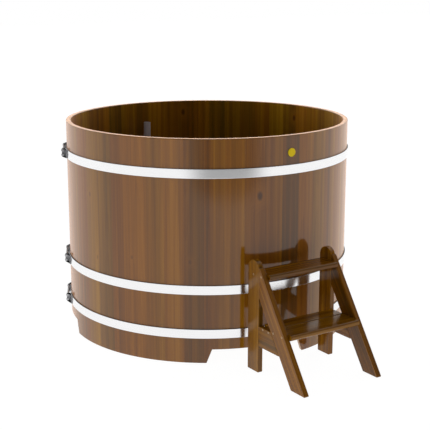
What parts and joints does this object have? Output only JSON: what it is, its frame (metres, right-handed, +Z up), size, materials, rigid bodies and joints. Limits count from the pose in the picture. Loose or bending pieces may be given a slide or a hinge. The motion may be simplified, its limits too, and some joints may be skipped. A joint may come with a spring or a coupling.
{
  "type": "wooden plunge tub",
  "caption": "Round upright plunge tub of wooden staves held by steel hoops with bolted locks, with a floor, an overflow pipe in a drain, and a free-standing step ladder.",
  "frame": {"origin": "on the tub's axis at floor level, on the underside of the middle bearer", "axes": "+Z up along the tub's axis, -Y towards the ladder and the badge, +X to the right seen from the ladder"},
  "size_m": [1.5119, 1.989, 1.11],
  "materials": {
    "stave_wood": "larch-brown staves, smooth, clear coated, tone differs from stave to stave",
    "floor_wood": "brown boards, smooth, clear coated",
    "ladder_wood": "brown boards, glossy clear coat",
    "hoop_steel": "satin stainless strip",
    "lock_steel": "dark grey steel",
    "screw_steel": "plain steel",
    "pipe_plastic": "grey pipe plastic",
    "gasket_rubber": "black rubber",
    "badge_yellow": "yellow enamel with a raised rim, bare"
  },
  "bodies": {
    "tub": {"back_bearer": "floor_wood", "badge": "badge_yellow", "clip_screws": "screw_steel", "drain_back_nut": "pipe_plastic", "drain_gasket": "gasket_rubber", "drain_socket": "pipe_plastic", "floor_board_1": "floor_wood", "floor_board_2": "floor_wood", "floor_board_3": "floor_wood", "floor_board_4": "floor_wood", "floor_board_5": "floor_wood", "floor_board_6": "floor_wood", "floor_board_7": "floor_wood", "floor_board_8": "floor_wood", "floor_board_9": "floor_wood", "floor_screws": "screw_steel", "front_bearer": "floor_wood", "hoop_nuts": "lock_steel", "hoop_washers": "lock_steel", "lower_hoop": "hoop_steel", "lower_hoop_lugs": "lock_steel", "middle_bearer": "floor_wood", "middle_hoop": "hoop_steel", "middle_hoop_lugs": "lock_steel", "pipe_clip": "pipe_plastic", "staves_back_arch": "stave_wood", "staves_front_arch": "stave_wood", "staves_left_arch": "stave_wood", "staves_left_back_foot": "stave_wood", "staves_left_front_foot": "stave_wood", "staves_right_arch": "stave_wood", "staves_right_back_foot": "stave_wood", "staves_right_front_foot": "stave_wood", "upper_hoop": "hoop_steel", "upper_hoop_lugs": "lock_steel"},
    "overflow": {"overflow_pipe": "pipe_plastic"},
    "ladder": {"ladder_dowels": "ladder_wood", "ladder_screws": "screw_steel", "left_brace": "ladder_wood", "left_front_leg": "ladder_wood", "left_rear_leg": "ladder_wood", "lower_tread": "ladder_wood", "lower_tread_rear_board": "ladder_wood", "right_brace": "ladder_wood", "right_front_leg": "ladder_wood", "right_rear_leg": "ladder_wood", "upper_tread": "ladder_wood"},
    "upper_hoop_top_bolt": {"upper_hoop_top_bolt": "lock_steel"},
    "upper_hoop_bottom_bolt": {"upper_hoop_bottom_bolt": "lock_steel"},
    "middle_hoop_top_bolt": {"middle_hoop_top_bolt": "lock_steel"},
    "middle_hoop_bottom_bolt": {"middle_hoop_bottom_bolt": "lock_steel"},
    "lower_hoop_top_bolt": {"lower_hoop_top_bolt": "lock_steel"},
    "lower_hoop_bottom_bolt": {"lower_hoop_bottom_bolt": "lock_steel"}
  },
  "joints": [
    {"name": "pipe_lift", "type": "slide", "parent": "tub", "child": "overflow", "axis": [0, 0, 1], "range_m": [0, 0.25]},
    {"name": "ladder_draw", "type": "slide", "parent": "tub", "child": "ladder", "axis": [0, -1, 0], "range_m": [0, 0.5]},
    {"name": "upper_top_bolt_turn", "type": "hinge", "parent": "tub", "child": "upper_hoop_top_bolt", "pos_m": [-0.68401, 0.35153, 0.957], "axis": [-0.4571, -0.8894, 0], "continuous": true},
    {"name": "upper_bottom_bolt_turn", "type": "hinge", "parent": "tub", "child": "upper_hoop_bottom_bolt", "pos_m": [-0.68401, 0.35153, 0.933], "axis": [-0.4571, -0.8894, 0], "continuous": true},
    {"name": "middle_top_bolt_turn", "type": "hinge", "parent": "tub", "child": "middle_hoop_top_bolt", "pos_m": [-0.68401, 0.35153, 0.3855], "axis": [-0.4571, -0.8894, 0], "continuous": true},
    {"name": "middle_bottom_bolt_turn", "type": "hinge", "parent": "tub", "child": "middle_hoop_bottom_bolt", "pos_m": [-0.68401, 0.35153, 0.3615], "axis": [-0.4571, -0.8894, 0], "continuous": true},
    {"name": "lower_top_bolt_turn", "type": "hinge", "parent": "tub", "child": "lower_hoop_top_bolt", "pos_m": [-0.68401, 0.35153, 0.1635], "axis": [-0.4571, -0.8894, 0], "continuous": true},
    {"name": "lower_bottom_bolt_turn", "type": "hinge", "parent": "tub", "child": "lower_hoop_bottom_bolt", "pos_m": [-0.68401, 0.35153, 0.1395], "axis": [-0.4571, -0.8894, 0], "continuous": true}
  ]
}
